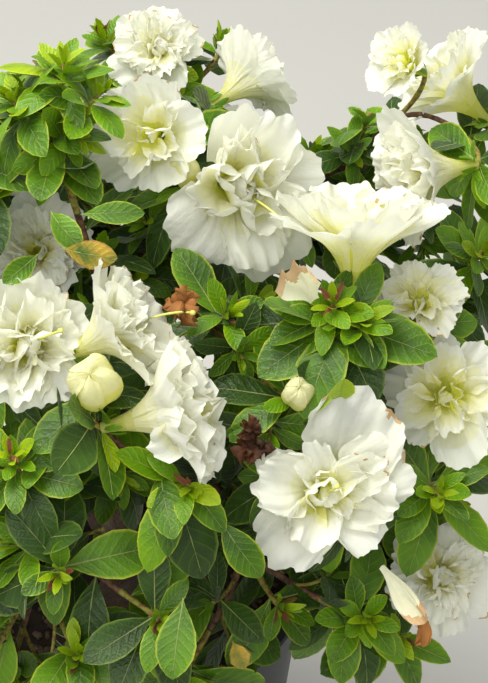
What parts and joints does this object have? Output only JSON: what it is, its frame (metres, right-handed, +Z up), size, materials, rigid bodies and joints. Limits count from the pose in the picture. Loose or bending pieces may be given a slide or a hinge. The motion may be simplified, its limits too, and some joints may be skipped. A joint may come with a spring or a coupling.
{
  "type": "potted azalea shrub",
  "caption": "Whole white double-flowered azalea shrub in a round tapered nursery pot: stem, boughs, leaf whorls and ruffled blooms.",
  "frame": {"origin": "centre of the pot's flat underside, where it stands", "axes": "+Z up through the pot and the stem, -Y the pictured front, +X to its right"},
  "size_m": [0.35, 0.3467, 0.4427],
  "materials": {
    "pot_plastic": "moulded dark grey polypropylene, satin",
    "potting_mix": "damp peat with bark chips",
    "bark": "thin brown bark, slightly flaking",
    "foliage": "dark to yellow-green hairy leaves with white double blooms"
  },
  "bodies": {
    "root": {"pot": "pot_plastic", "soil": "potting_mix", "trunk": "bark", "bough_top": "bark", "bough_front_low": "bark", "bough_right_front": "bark", "bough_back_upper": "bark", "bough_left_upper": "bark", "bough_front_upper": "bark", "bough_centre": "bark", "bough_front_right_low": "bark", "bough_right_back_upper": "bark", "bough_left_low": "bark", "bough_back_left_low": "bark", "bough_back_right_low": "bark", "bough_right_low": "bark", "foliage_top": "foliage", "foliage_front_low": "foliage", "foliage_right_front": "foliage", "foliage_back_upper": "foliage", "foliage_left_upper": "foliage", "foliage_front_upper": "foliage", "foliage_centre": "foliage", "foliage_front_right_low": "foliage", "foliage_right_back_upper": "foliage", "foliage_left_low": "foliage", "foliage_back_left_low": "foliage", "foliage_back_right_low": "foliage", "foliage_right_low": "foliage"}
  },
  "joints": []
}
